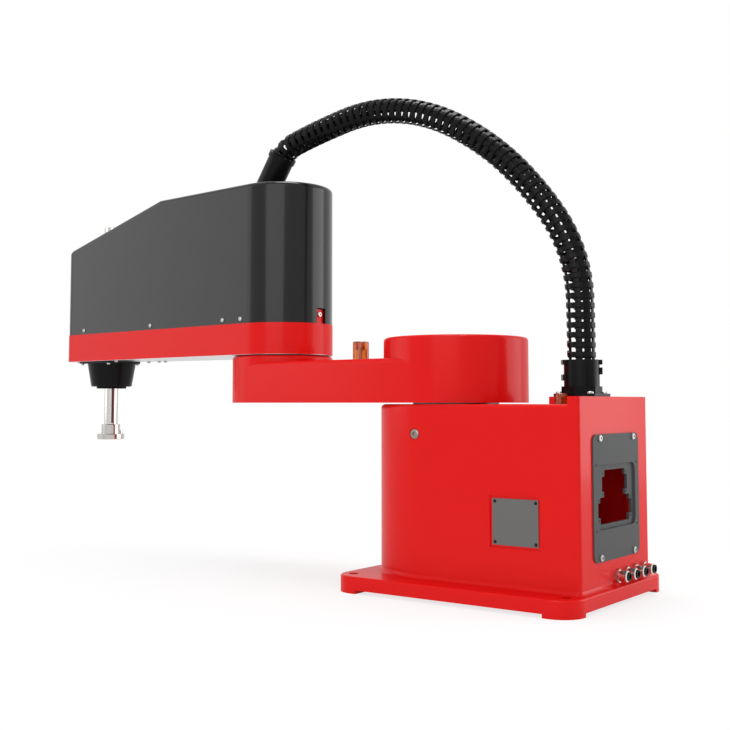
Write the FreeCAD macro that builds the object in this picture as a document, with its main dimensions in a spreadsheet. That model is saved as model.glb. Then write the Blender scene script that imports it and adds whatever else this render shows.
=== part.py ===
import FreeCAD, Part
import math
import os
import re
import Sketcher
from FreeCAD import Placement, Rotation, Vector

# Four-axis arm robot: a cast base, two level arms and a vertical spline shaft.
# Millimetres. The origin is the centre of the four floor bolts on the mounting
# plane, +X runs along the stretched arm, +Y is the side with the nameplate and
# +Z is up. Each body is drawn about the axis of its own joint.

# Driving dimensions: name, value, what it is
SIZES = [
    ("reach_one", 265, "first axis to second axis"),
    ("reach_two", 335, "second axis to shaft axis"),
    ("bolt_span_x", 260, "floor bolts, front to rear"),
    ("bolt_span_y", 196, "floor bolts, side to side"),
    ("bolt_hole", 5.5, "radius of a floor bolt hole"),
    ("bolt_centre", 56, "bolt centre forward to the first axis"),
    ("plate_edge_x", 16.5, "bolt to the plate's front and rear edges"),
    ("plate_edge_y", 20, "bolt to the plate's sides"),
    ("plate_corner", 26, "corner radius of the plate"),
    ("plate_top", 18.5, "top of the plate"),
    ("plate_round", 2, "rounding of the plate's top edge"),
    ("pad_high", 4, "height of the corner pads"),
    ("pad_long", 33, "corner pad, front to rear"),
    ("pad_wide", 29, "corner pad, side to side"),
    ("column_radius", 86.5, "front round and half width of the column"),
    ("column_rear", 196, "first axis back to the rear face"),
    ("column_top", 207, "top of the column"),
    ("column_round", 5, "rounding of the column's top edge and foot"),
    ("column_wall", 9, "wall of the column"),
    ("column_roof", 22, "thickness of the column's top wall"),
    ("shelf_top", 215, "top of the raised rear rim"),
    ("shelf_deep", 12, "rear rim, front to rear"),
    ("tongue_half", 27, "half width of the tongue under the conduit"),
    ("tongue_front", 133.5, "first axis back to the tongue's front"),
    ("rear_corner", 4.5, "rounding of the rear corners"),
    ("bearing_bore", 58, "radius of the bore for the first bearing"),
    ("bearing_high", 20, "height of the first bearing's outer ring"),
    ("bearing_wall", 8, "wall of the first bearing's outer ring"),
    ("snug", 0.05, "gap between pieces that are fitted together"),
    ("turn_gap", 0.3, "gap between round pieces that turn past each other"),
    ("joint_gap", 1.5, "gap between column and first arm"),
    ("elbow_gap", 1, "gap between first arm and second arm"),
    ("flange_side", 48, "side of the square conduit flange"),
    ("flange_corner", 6, "corner radius of the conduit flange"),
    ("flange_thick", 3.3, "thickness of the conduit flange"),
    ("conduit_back", 159, "first axis back to the conduit"),
    ("conduit_radius", 15.5, "outer radius of the conduit"),
    ("gland_flats", 38, "across the flats of the gland's hexagon"),
    ("gland_hex_high", 7.7, "height of the gland's hexagon"),
    ("gland_radius", 19, "radius of the gland's barrel"),
    ("gland_lug", 21.2, "gland's axis to the outer faces of its lugs"),
    ("gland_lug_half", 6.5, "half width of the gland's lugs"),
    ("gland_turn", 35, "turn of the gland about its own axis"),
    ("gland_slot", 1.6, "width and depth of the slot in the gland"),
    ("gland_high", 28.5, "height of the gland's barrel"),
    ("gland_seat", 10.5, "depth of the gland's mouth"),
    ("cable_radius", 11, "radius of the way for the cables"),
    ("stop_back", 151.5, "first axis back to its two stops"),
    ("stop_side", 34.5, "stops of the first axis, off the middle"),
    ("stop_radius", 6.5, "radius of a stop of the first axis"),
    ("stop_high", 11.6, "height of a stop of the first axis"),
    ("panel_half", 57, "half width of the connector panel"),
    ("panel_low", 47, "bottom of the connector panel"),
    ("panel_high", 129.3, "height of the connector panel"),
    ("panel_corner", 8, "corner radius of the connector panel"),
    ("panel_thick", 1.5, "thickness of the panel's rim"),
    ("recess_half", 47, "half width of the panel's recess"),
    ("recess_low", 79, "bottom of the panel's recess"),
    ("recess_high", 66, "height of the panel's recess"),
    ("recess_deep", 2.6, "depth of the panel's recess"),
    ("recess_wall", 2, "wall round the panel's recess"),
    ("recess_corner", 8, "corner radius of the panel's recess"),
    ("pin_hole", 1.3, "radius of the four small holes beside the recess"),
    ("pin_side", 50.5, "small holes beside the recess, off the middle"),
    ("tab_hole", 1.1, "radius of the holes in the tabs"),
    ("panel_floor", 3, "thickness of the recess floor"),
    ("panel_screw_side", 41.8, "panel screws, off the middle"),
    ("panel_screw_low", 51.3, "height of the lower panel screws"),
    ("panel_screw_high", 172.4, "height of the upper panel screws"),
    ("screw_radius", 2, "shank radius of the small screws"),
    ("screw_head", 3.6, "head radius of the small screws"),
    ("screw_head_high", 2.2, "head height of the small screws"),
    ("screw_long", 8, "shank length of the small screws"),
    ("fitting_pitch", 22.5, "distance between air fittings"),
    ("fitting_first", 1.6, "side place of the first air fitting"),
    ("fitting_high", 29.1, "height of the air fittings"),
    ("fitting_flats", 13, "across the flats of a fitting's nut"),
    ("fitting_nut", 4, "thickness of a fitting's nut"),
    ("fitting_thread", 5, "thread radius of a fitting"),
    ("fitting_out", 13.4, "length of a fitting outside the wall"),
    ("fitting_in", 16, "length of a fitting inside the wall"),
    ("fitting_radius", 5.8, "radius of a fitting's sleeve"),
    ("tube_radius", 3, "radius of the air tube's way"),
    ("name_front", 97, "first axis back to the nameplate's front edge"),
    ("name_long", 53.3, "length of the nameplate"),
    ("name_low", 62.3, "bottom of the nameplate"),
    ("name_high", 47.7, "height of the nameplate"),
    ("name_thick", 1, "thickness of the nameplate"),
    ("name_margin", 3, "recess round the nameplate"),
    ("name_deep", 1.4, "depth of the nameplate's recess"),
    ("plug_high", 174.4, "height of the side plug"),
    ("plug_radius", 5.25, "head radius of the side plug"),
    ("drum_radius", 83.8, "radius of the first arm's inner drum"),
    ("drum_high", 74.8, "height of the inner drum"),
    ("drum_round", 4, "rounding of the drums' top edges"),
    ("elbow_radius", 65, "radius of the outer drum and of the second arm"),
    ("elbow_high", 59.8, "height of the outer drum"),
    ("beam_high", 50.5, "height of the first arm's beam"),
    ("beam_round", 6, "rounding of the beam's top edges"),
    ("arm_wall", 8, "wall of the arm castings"),
    ("rib_thick", 7, "ribs under the first arm"),
    ("wrist_bore", 48, "radius of the second reducer's bore"),
    ("wrist_deep", 40, "depth of the second reducer's bore"),
    ("wrist_hub", 40, "radius of the second axis's output flange"),
    ("wrist_hub_high", 6, "height of the second axis's output flange"),
    ("buffer_at", 137.6, "first axis to the stop of the second axis"),
    ("buffer_radius", 10, "radius of that stop"),
    ("buffer_high", 24.8, "height of that stop"),
    ("tray_high", 39.9, "height of the second arm's casting"),
    ("tray_floor", 8.7, "floor of the second arm's casting"),
    ("arm_front", 74.7, "shaft axis to the second arm's front"),
    ("arm_front_half", 28.8, "half width of the second arm's front, without its round corners"),
    ("arm_front_round", 20, "corner radius of the second arm's front"),
    ("cover_inset", 0.5, "cover behind the casting's side"),
    ("cover_high", 179.3, "height of the cover"),
    ("cover_wall", 3, "wall of the cover"),
    ("cover_round", 6, "rounding of the cover's top edge"),
    ("cover_flat", 186, "second axis to the start of the cover's slope"),
    ("cover_slope", 13.7, "angle of the cover's slope"),
    ("cover_brow", 25, "rounding of the cover's front top edge"),
    ("ground_half", 8.7, "half width of the cover's rear cut-out"),
    ("ground_high", 19.5, "height of the cover's rear cut-out"),
    ("cover_screw_high", 5.8, "cover screws above the casting"),
    ("screw_first", 16.7, "second axis to the first cover screw"),
    ("screw_second", 50.8, "second axis to the second cover screw"),
    ("screw_third", 201.2, "second axis to the third cover screw"),
    ("screw_fourth", 358.8, "second axis to the fourth cover screw"),
    ("shaft_radius", 10, "radius of the spline shaft"),
    ("shaft_bore", 5.5, "radius of the bore through the shaft"),
    ("shaft_top", 469, "top of the shaft's stop collar"),
    ("collar_radius", 13.5, "radius of the stop collar"),
    ("collar_high", 10, "height of the stop collar"),
    ("collar_hole", 15.5, "radius of the cover's opening for the collar"),
    ("tool_low", 155, "bottom of the tool flange"),
    ("tool_radius", 19.7, "radius of the tool flange"),
    ("tool_thick", 8, "thickness of the tool flange"),
    ("tool_hub", 13.6, "radius of the tool flange's hub"),
    ("tool_hub_high", 14, "height of the tool flange's hub"),
    ("tool_pitch", 31.5, "pitch circle of the tool flange's holes"),
    ("tool_hole", 1.65, "radius of the tool flange's holes"),
    ("bevel", 0.8, "bevel of the turned steel pieces"),
    ("tool_ear", 3.4, "radius of the clamp's ear on the tool flange's hub"),
    ("tool_ear_high", 5, "height of the clamp's ear"),
    ("nose_side_x", 64, "nose flange, front to rear"),
    ("nose_side_y", 62, "nose flange, side to side"),
    ("nose_thick", 3, "thickness of the nose flange"),
    ("nose_ahead", 3.5, "nose flange's middle in front of the shaft"),
    ("nose_radius", 35, "top radius of the nose cone"),
    ("nose_end", 28.4, "bottom radius of the nose cone"),
    ("nose_low", 36.9, "nose cone's bottom below the second arm"),
    ("lip_radius", 21.4, "radius of the seal's lip"),
    ("lip_high", 2.8, "height of the seal's lip"),
    ("nose_wall", 4, "wall of the nose cone"),
    ("nose_row", 28, "shaft axis to the rows of screws under the arm"),
    ("spline_radius", 17, "radius of the spline nut"),
    ("spline_race", 4, "wall of the spline nut's bearing"),
    ("nut_radius", 16.5, "radius of the screw nut"),
    ("belt_wide", 12, "width of the belts"),
    ("belt_thick", 2, "thickness of the belts"),
    ("spline_pulley", 22, "radius of the spline nut's pulley"),
    ("spline_drive", 13, "radius of the fourth motor's pulley"),
    ("screw_pulley", 20, "radius of the screw nut's pulley"),
    ("screw_drive", 16, "radius of the third motor's pulley"),
    ("rim", 2, "pulley flanges beside the belt"),
    ("stack_gap", 2, "gap between pulleys one above the other"),
    ("motor_side", 60, "side of the arm motors"),
    ("motor_high", 92, "height of the arm motors"),
    ("motor_three_at", 236, "second axis to the third motor"),
    ("motor_four_at", 172, "second axis to the fourth motor"),
    ("motor_shaft", 7, "radius of the motors' shafts"),
    ("bracket_thick", 6, "thickness of the motor bracket"),
    ("bracket_over", 2, "motor bracket beyond the motors, front and rear"),
    ("bracket_gap", 1.4, "motor bracket to the walls of the casting"),
    ("bracket_leg", 5, "thickness of the motor bracket's legs"),
    ("elbow_tube", 17, "radius of the tube on the cover"),
    ("elbow_collar", 18.5, "radius of the tube's collar"),
    ("elbow_collar_long", 7, "length of the tube's collar"),
    ("elbow_lean", 33, "lean of the tube from upright"),
    ("elbow_ahead", 1, "second axis to the middle of the tube's mouth"),
    ("elbow_rise", 46.5, "height of the tube's mouth above the cover"),
    ("elbow_seat", 16, "depth of the tube's mouth"),
    ("conduit_rise", 50, "upright length of the conduit out of the gland"),
    ("conduit_dive", 8, "straight length of the conduit before the tube's mouth"),
]

# The conduit's arch in the plane of the stretched arm, as shares of the way from the
# gland's seat to the seat in the cover's tube, forward and up; the hose is made in two
# lengths that meet in the middle of the run from the rise to the fall
RISE = [(0.0035, 0.3638), (0.0369, 0.5259), (0.0945, 0.6700), (0.1969, 0.8563), (0.3101, 0.9978),
        (0.4289, 1.1041)]
FALL = [(0.5534, 1.1635), (0.6825, 1.1762), (0.8208, 1.1347), (0.9108, 1.1005)]

SLIGHT = 0.01
UP = Rotation()
TO_REAR = Rotation(Vector(0, 1, 0), -90)
TO_LEFT = Rotation(Vector(1, 0, 0), -90)
TO_RIGHT = Rotation(Vector(1, 0, 0), 90)

doc = FreeCAD.newDocument("arm_robot")
sheet = doc.addObject("Spreadsheet::Sheet", "Sizes")
for row, (alias, amount, meaning) in enumerate(SIZES, start=1):
    sheet.set("A%d" % row, meaning)
    sheet.set("B%d" % row, str(amount))
    sheet.setAlias("B%d" % row, alias)
doc.recompute()

ALIASES = {alias for alias, amount, meaning in SIZES}
nodes = {}


def bound(text):
    """An expression with the sheet's name in front of every size in it."""
    return re.sub(r"[a-z_]+", lambda word: ("Sizes." if word.group() in ALIASES else "") + word.group(), text)


def value(text):
    """What an expression comes to."""
    return float(sheet.evalExpression(bound(text)))


def place(thing, x, y, z, turn=UP):
    """Stand an object at a place that is bound to the sheet."""
    thing.Placement = Placement(Vector(value(x), value(y), value(z)), turn)
    for axis, text in zip("xyz", (x, y, z)):
        thing.setExpression("Placement.Base." + axis, bound(text))


class Piece:
    """One solid drawn from sketches whose sizes come from the sheet."""

    facing = {"XY": 1, "XZ": -1, "YZ": 1}

    def __init__(self, name, x="0", y="0", z="0", turn=UP, node=True):
        self.body = doc.addObject("PartDesign::Body", name)
        self.body.Label = name
        place(self.body, x, y, z, turn)
        if node:
            nodes[name] = self.body

    def sketch(self, plane, lift):
        """An empty sketch on a plane of the body, lifted along the plane's own axis."""
        drawing = self.body.newObject("Sketcher::SketchObject", self.body.Name + "_sketch")
        origin = next(part for part in self.body.Origin.OriginFeatures if part.Role == plane + "_Plane")
        drawing.AttachmentSupport = (origin, [""])
        drawing.MapMode = "FlatFace"
        sign = "" if self.facing[plane] > 0 else "-1 * "
        drawing.setExpression("AttachmentOffset.Base.z", bound(sign + "(" + lift + ")"))
        return drawing

    def outline(self, plane, points, lift="0", arcs=None):
        """A closed outline through bound points; arcs gives the radius of each edge that is round."""
        drawing = self.sketch(plane, lift)
        spots = [Vector(value(x), value(y), 0) for x, y in points]
        count = len(spots)
        starts = []
        for index in range(count):
            first, last = spots[index], spots[(index + 1) % count]
            if arcs and index in arcs:
                drawing.addGeometry(Part.Arc(first, bulge(first, last, value(arcs[index])), last), False)
            else:
                drawing.addGeometry(Part.LineSegment(first, last), False)
            starts.append(1 if drawing.Geometry[index].StartPoint.distanceToPoint(first) < SLIGHT else 2)
        for index in range(count):
            after = (index + 1) % count
            drawing.addConstraint(Sketcher.Constraint("Coincident", index, 3 - starts[index], after,
                                                      starts[after]))
        for index, point in enumerate(points):
            self.pin(drawing, index, starts[index], point, spots[index])
        for index, radius in (arcs or {}).items():
            row = drawing.addConstraint(Sketcher.Constraint("Radius", index, value(radius)))
            drawing.setExpression("Constraints[%d]" % row, bound(radius))
        return drawing

    def rectangle(self, plane, low_x, low_y, high_x, high_y, lift="0"):
        corners = [(low_x, low_y), (high_x, low_y), (high_x, high_y), (low_x, high_y)]
        return self.outline(plane, corners, lift)

    def hexagon(self, plane, flats, lift="0"):
        corners = [("%s / sqrt(3) * cos(%d)" % (flats, turn), "%s / sqrt(3) * sin(%d)" % (flats, turn))
                   for turn in range(0, 360, 60)]
        return self.outline(plane, corners, lift)

    def discs(self, plane, places, radius, lift="0"):
        """Circles of one radius at bound places."""
        drawing = self.sketch(plane, lift)
        for index, point in enumerate(places):
            spot = Vector(value(point[0]), value(point[1]), 0)
            drawing.addGeometry(Part.Circle(spot, Vector(0, 0, 1), value(radius)), False)
            self.pin(drawing, index, 3, point, spot)
            row = drawing.addConstraint(Sketcher.Constraint("Radius", index, value(radius)))
            drawing.setExpression("Constraints[%d]" % row, bound(radius))
        return drawing

    @staticmethod
    def pin(drawing, index, end, point, spot):
        """Tie one point of a sketch to its place from the origin."""
        for kind, text, amount in (("DistanceX", point[0], spot.x), ("DistanceY", point[1], spot.y)):
            row = drawing.addConstraint(Sketcher.Constraint(kind, -1, 1, index, end, amount))
            drawing.setExpression("Constraints[%d]" % row, bound(text))

    def add(self, drawing, length, toward=1):
        """Extrude a sketch along its axis, or against it with toward -1."""
        pad = self.body.newObject("PartDesign::Pad", self.body.Name + "_pad")
        pad.Profile = drawing
        pad.setExpression("Length", bound(length))
        pad.Reversed = toward * self.facing[self.plane_of(drawing)] < 0
        return self.finish(drawing, pad)

    def cut(self, drawing, depth, toward=-1):
        """Cut a sketch away against its axis, or along it with toward 1."""
        before = self.volume()
        pocket = self.body.newObject("PartDesign::Pocket", self.body.Name + "_cut")
        pocket.Profile = drawing
        pocket.setExpression("Length", bound(depth))
        pocket.Reversed = toward * self.facing[self.plane_of(drawing)] > 0
        self.finish(drawing, pocket)
        if self.volume() > before - SLIGHT:
            raise RuntimeError("a cut in %s takes nothing away" % self.body.Label)
        return pocket

    def turned(self, points, groove=False):
        """Turn an outline of radii and heights about the body's own upright axis."""
        drawing = self.outline("XZ", points)
        kind = "PartDesign::Groove" if groove else "PartDesign::Revolution"
        turning = self.body.newObject(kind, self.body.Name + "_turned")
        turning.Profile = drawing
        turning.ReferenceAxis = (drawing, ["V_Axis"])
        turning.Angle = 360
        return self.finish(drawing, turning)

    def soften(self, radius, test):
        """Round the edges that a test picks."""
        carrier = self.body.Tip
        names = ["Edge%d" % number for number, edge in enumerate(carrier.Shape.Edges, start=1) if test(edge)]
        if not names:
            raise RuntimeError("no edge of %s to round" % self.body.Label)
        rounding = self.body.newObject("PartDesign::Fillet", self.body.Name + "_round")
        rounding.Base = (carrier, names)
        rounding.setExpression("Radius", bound(radius))
        self.body.Tip = rounding
        doc.recompute()
        return rounding

    def finish(self, drawing, feature):
        drawing.Visibility = False
        self.body.Tip = feature
        doc.recompute()
        return feature

    def plane_of(self, drawing):
        return drawing.AttachmentSupport[0][0].Role.replace("_Plane", "")

    def volume(self):
        return self.body.Shape.Volume


def group(name, master, spots, x="0", y="0", z="0", node=True):
    """Copies of one piece in one node; a spot is x, y, z and a turn."""
    copies = []
    for number, (spot_x, spot_y, spot_z, turn) in enumerate(spots, start=1):
        copy = doc.addObject("App::Link", "%s_%d" % (name, number))
        copy.LinkedObject = master.body
        place(copy, spot_x, spot_y, spot_z, turn)
        copies.append(copy)
    bunch = doc.addObject("Part::Compound", name)
    bunch.Label = name
    bunch.Links = copies
    place(bunch, x, y, z)
    if node:
        nodes[name] = bunch
    return bunch


def less(name, base, tool, x="0", y="0", z="0"):
    """One object with another cut away from it."""
    rest = doc.addObject("Part::Cut", name)
    rest.Label = name
    rest.Base, rest.Tool = base, tool
    place(rest, x, y, z)
    return rest


def ends(edge):
    return [vertex.Point for vertex in edge.Vertexes]


def upright(edge):
    """Whether an edge stands upright."""
    first, last = ends(edge)[0], ends(edge)[-1]
    return math.hypot(first.x - last.x, first.y - last.y) < SLIGHT < abs(first.z - last.z)


def level(edge, height):
    """Whether an edge lies level at a height."""
    box = edge.BoundBox
    return abs(box.ZMin - height) < SLIGHT and abs(box.ZMax - height) < SLIGHT


def bulge(first, last, radius):
    """Middle of the short arc between two points that bends to the right of the way."""
    along = last - first
    half = along.Length / 2
    aside = Vector(along.y, -along.x, 0).normalize()
    return first + along * 0.5 + aside * (radius - math.sqrt(radius ** 2 - half ** 2))


def hull(near, far, distance):
    """Where the two straight edges round two circles touch them, as bound points."""
    lean = "(%s - (%s)) / (%s)" % (near, far, distance)
    near_x, near_y = "(%s) * %s" % (near, lean), "(%s) * sqrt(1 - (%s)^2)" % (near, lean)
    far_x, far_y = "%s + (%s) * %s" % (distance, far, lean), "(%s) * sqrt(1 - (%s)^2)" % (far, lean)
    return [(near_x, "-1 * " + near_y), (far_x, "-1 * " + far_y), (far_x, far_y), (near_x, near_y)]


def corners(x, y):
    """The four corners of a rectangle about the origin."""
    return [("%s(%s)" % (a, x), "%s(%s)" % (b, y)) for a in ("", "-1 * ") for b in ("", "-1 * ")]


def small_screw(name, head="screw_head", head_high="screw_head_high", shank="screw_radius",
                long="screw_long"):
    """A socket screw standing on its head's underside, with a hexagon socket."""
    screw = Piece(name, node=False)
    screw.turned([("0", "-1 * (%s)" % long), (shank, "-1 * (%s)" % long), (shank, "0"), (head, "0"),
                  (head, "%s * 0.6" % head_high), ("%s * 0.75" % head, head_high), ("0", head_high)])
    screw.cut(screw.hexagon("XY", "%s * 0.8" % head, head_high), "%s * 0.7" % head_high)
    return screw


# Heights that several pieces share
ARM_LOW = "column_top + joint_gap"
ELBOW_TOP = ARM_LOW + " + elbow_high"
TRAY_LOW = ELBOW_TOP + " + elbow_gap"
TRAY_TOP = TRAY_LOW + " + tray_high"
FLOOR_TOP = TRAY_LOW + " + tray_floor"
COVER_TOP = TRAY_TOP + " + cover_high"
INNER = "column_radius - column_wall"
CAVITY_TOP = "column_top - column_roof"

# The connectors' opening, as shares of the recess: half width, upper edge and lower edge
OPENING_STEPS = [(0.543, 0.912, 0.811), (0.670, 0.811, 0.576), (0.566, 0.576, 0.492),
                 (0.777, 0.492, 0.409), (0.906, 0.409, 0.182), (0.766, 0.182, 0.076)]

# Screw holes in the tabs between those steps, as shares of the recess: off the middle and up
TABS = [(0.625, 0.855), (0.625, 0.541), (0.836, 0.445), (0.836, 0.136)]

# The gland's lugs, as shares of its barrel's height: side, foot and top
LUGS = [("", 0.22, 0.45), ("", 0.82, 1), ("-1 * ", 0.45, 0.71), ("-1 * ", 0.82, 1)]

# Screws under the second arm behind and before the nose: from the shaft axis forward, and their row
TRAY_SCREWS = [("40", ""), ("-42", ""), ("-50", "-1 * "), ("-72", "-1 * "), ("-85", "-1 * ")]

# The second arm's outline, and the motor bracket inside it
FRONT = "(reach_two + arm_front)"
ARM_TAPER = "(asin(elbow_radius / sqrt({0}^2 + arm_front_half^2)) - atan(arm_front_half / {0}))".format(FRONT)
BRACKET_FRONT = "(motor_three_at + motor_side / 2 + bracket_over)"
BRACKET_SIDE = "(elbow_radius - %s * sin(%s)) / cos(%s)" % (BRACKET_FRONT, ARM_TAPER, ARM_TAPER)
BRACKET_HALF = "(%s - arm_wall - bracket_gap)" % BRACKET_SIDE
J1 = "bolt_centre"
J2 = "bolt_centre + reach_one"
J3 = "bolt_centre + reach_one + reach_two"


def base_casting():
    """Hollow column on a plate with four pads, raised at the rear for the conduit."""
    base = Piece("base_casting", x=J1)
    half_x, half_y = "(bolt_span_x / 2 + plate_edge_x)", "(bolt_span_y / 2 + plate_edge_y)"
    front, rear = "%s - bolt_centre" % half_x, "-1 * %s - bolt_centre" % half_x
    base.add(base.rectangle("XY", rear, "-1 * " + half_y, front, half_y), "plate_top")
    base.soften("plate_corner", upright)
    base.soften("plate_round", lambda edge: level(edge, value("plate_top")))
    inner_front, inner_rear = front + " - pad_long", rear + " + pad_long"
    inner_y, outer_y = "(%s - pad_wide)" % half_y, "(%s + plate_round)" % half_y
    cross = [(rear + " - 1", inner_y), (inner_rear, inner_y), (inner_rear, outer_y), (inner_front, outer_y),
             (inner_front, inner_y), (front + " + 1", inner_y)]
    cross += [(x, "-1 * " + y) for x, y in reversed(cross)]
    base.cut(base.outline("XY", cross), "pad_high", toward=1)
    base.add(base.discs("XY", [("0", "0")], "column_radius", "plate_top - 1"), "column_top - plate_top + 1")
    base.add(base.rectangle("XY", "-1 * column_rear", "-1 * column_radius", "0", "column_radius",
                            "plate_top - 1"),
             "column_top - plate_top + 1")
    rear_face = -value("column_rear")
    base.soften("column_round",
                lambda edge: level(edge, value("column_top")) and edge.BoundBox.XMax > rear_face + 1)
    base.add(base.rectangle("XY", "-1 * column_rear", "-1 * column_radius", "-1 * column_rear + shelf_deep",
                            "column_radius", "plate_top"), "shelf_top - plate_top")
    base.soften("rear_corner", lambda edge: upright(edge) and abs(ends(edge)[0].x - rear_face) < SLIGHT)
    base.add(base.rectangle("XY", "-1 * column_rear + shelf_deep", "-1 * tongue_half", "-1 * tongue_front",
                            "tongue_half", CAVITY_TOP), "shelf_top - (%s)" % CAVITY_TOP)
    side_face = value("column_radius")
    base.soften("column_round",
                lambda edge: level(edge, value("plate_top")) and edge.BoundBox.DiagonalLength > 20
                and abs(edge.BoundBox.YMax) < side_face + 1 and edge.BoundBox.XMin > rear_face - 1)
    cut_cavity(base)
    cut_base_holes(base)
    return base


def cut_cavity(base):
    """The space inside the column, open below and flat-sided at its front, and the first bearing's bore."""
    rear = "-1 * column_rear + column_wall"
    flats = [("(%s) / cos(15) * cos(%d)" % (INNER, turn), "(%s) / cos(15) * sin(%d)" % (INNER, turn))
             for turn in range(-75, 90, 30)]
    points = [(rear, "-1 * (%s)" % INNER)] + flats + [(rear, INNER)]
    base.cut(base.outline("XY", points), CAVITY_TOP, toward=1)
    base.cut(base.discs("XY", [("0", "0")], "bearing_bore", "column_top"), "column_roof + 1")
    base.cut(base.discs("XY", [("-1 * conduit_back", "0")], "cable_radius", "shelf_top"),
             "shelf_top - (%s) + 1" % CAVITY_TOP)


def cut_base_holes(base):
    """Floor bolts, panel opening, nameplate recess and the seats of screws and fittings."""
    bolts = [(x + " - bolt_centre", y) for x, y in corners("bolt_span_x / 2", "bolt_span_y / 2")]
    base.cut(base.discs("XY", bolts, "bolt_hole", "plate_top"), "plate_top")
    margin = "recess_wall + snug"
    base.cut(base.rectangle("YZ", "-1 * (recess_half + %s)" % margin, "recess_low - (%s)" % margin,
                            "recess_half + " + margin, "recess_low + recess_high + " + margin,
                            "-1 * column_rear"), "column_wall + 1", toward=1)
    base.cut(base.discs("YZ", panel_screw_spots(), "screw_radius + snug", "-1 * column_rear"), "screw_long",
             toward=1)
    fittings = [("fitting_first - %d * fitting_pitch" % number, "fitting_high") for number in range(4)]
    base.cut(base.discs("YZ", fittings, "fitting_flats * 0.6", "-1 * column_rear - column_round"),
             "column_round", toward=1)
    base.cut(base.discs("YZ", fittings, "fitting_thread + snug", "-1 * column_rear"), "column_wall + 1",
             toward=1)
    base.cut(base.rectangle("XZ", "-1 * (name_front + name_long + name_margin)", "name_low - name_margin",
                            "-1 * (name_front - name_margin)", "name_low + name_high + name_margin",
                            "column_radius"),
             "name_deep")
    base.cut(base.discs("XZ", [("0", "plug_high")], "plug_radius + 1", "column_radius"), "name_deep")
    base.cut(base.discs("XZ", [("0", "plug_high")], "screw_radius + snug", "column_radius"),
             "column_wall + 1")
    stops = [("-1 * stop_back", "stop_side"), ("-1 * stop_back", "-1 * stop_side")]
    base.cut(base.discs("XY", stops, "screw_radius + snug", "column_top"), "screw_long")
    inset = "flange_side / 2 - flange_corner"
    spots = [("-1 * conduit_back + (%s)" % x, y) for x, y in corners(inset, inset)]
    base.cut(base.discs("XY", spots, "screw_radius + snug", "shelf_top"), "screw_long")


def panel_screw_spots():
    """Sideways places and heights of the four panel screws."""
    heights = ("panel_screw_low", "panel_screw_high")
    return [(side + "panel_screw_side", high) for side in ("", "-1 * ") for high in heights]


def connector_panel():
    """Rear panel with a sunk middle and the stepped opening for the connectors."""
    panel = Piece("connector_panel", x="bolt_centre - column_rear")
    panel.add(panel.rectangle("YZ", "-1 * panel_half", "panel_low", "panel_half", "panel_low + panel_high"),
              "panel_thick", toward=-1)
    panel.soften("panel_corner", lambda edge: abs(edge.BoundBox.XLength - value("panel_thick")) < SLIGHT)
    panel.add(panel.rectangle("YZ", "-1 * (recess_half + recess_wall)", "recess_low - recess_wall",
                              "recess_half + recess_wall", "recess_low + recess_high + recess_wall"),
              "recess_deep - panel_thick + panel_floor")
    panel.cut(panel.rectangle("YZ", "-1 * recess_half", "recess_low", "recess_half",
                              "recess_low + recess_high", "-1 * panel_thick"), "recess_deep", toward=1)
    panel.soften("recess_corner", lambda edge: abs(edge.BoundBox.XLength - value("recess_deep")) < SLIGHT)
    right = []
    for half, top, bottom in OPENING_STEPS:
        right += [("recess_half * %s" % half, "recess_low + recess_high * %s" % top),
                  ("recess_half * %s" % half, "recess_low + recess_high * %s" % bottom)]
    left = [("-1 * " + y, z) for y, z in reversed(right)]
    panel.cut(panel.outline("YZ", right + left, "-1 * panel_thick"),
              "recess_deep + panel_floor + panel_thick", toward=1)
    panel.cut(panel.discs("YZ", panel_screw_spots(), "screw_radius + snug", "-1 * panel_thick"),
              "panel_thick", toward=1)
    edges = ("recess_low", "recess_low + recess_high")
    pins = [(side + "pin_side", high) for side in ("", "-1 * ") for high in edges]
    panel.cut(panel.discs("YZ", pins, "pin_hole", "-1 * panel_thick"), "panel_thick", toward=1)
    tabs = [(side + "recess_half * %s" % across, "recess_low + recess_high * %s" % up)
            for side in ("", "-1 * ") for across, up in TABS]
    panel.cut(panel.discs("YZ", tabs, "tab_hole", "recess_deep - panel_thick"), "panel_floor", toward=1)
    screw = small_screw("panel_screw")
    group("panel_screws", screw, [("-1 * panel_thick", y, z, TO_REAR) for y, z in panel_screw_spots()],
          x="bolt_centre - column_rear")


def nameplate():
    """Blank plate in its shallow recess, held by four rivets."""
    plate = Piece("nameplate", x=J1, y="column_radius - name_deep")
    plate.add(plate.rectangle("XZ", "-1 * (name_front + name_long)", "name_low", "-1 * name_front",
                              "name_low + name_high"),
              "name_thick")
    rivet = Piece("nameplate_rivet", node=False)
    rivet.turned([("0", "0"), ("screw_radius * 0.9", "0"), ("screw_radius * 0.7", "0.5"), ("0", "0.8")])
    spots = [("-1 * (name_front + %s)" % x, "column_radius - name_deep + name_thick", "name_low + " + z,
              TO_LEFT)
             for x in ("3", "name_long - 3") for z in ("3", "name_high - 3")]
    group("nameplate_rivets", rivet, spots, x=J1)


def side_plug():
    """Socket plug in the column's side."""
    plug = small_screw("plug_master", "plug_radius", "2", "screw_radius", "screw_long")
    group("side_plug", plug, [("0", "column_radius - name_deep", "plug_high", TO_LEFT)], x=J1)


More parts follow.
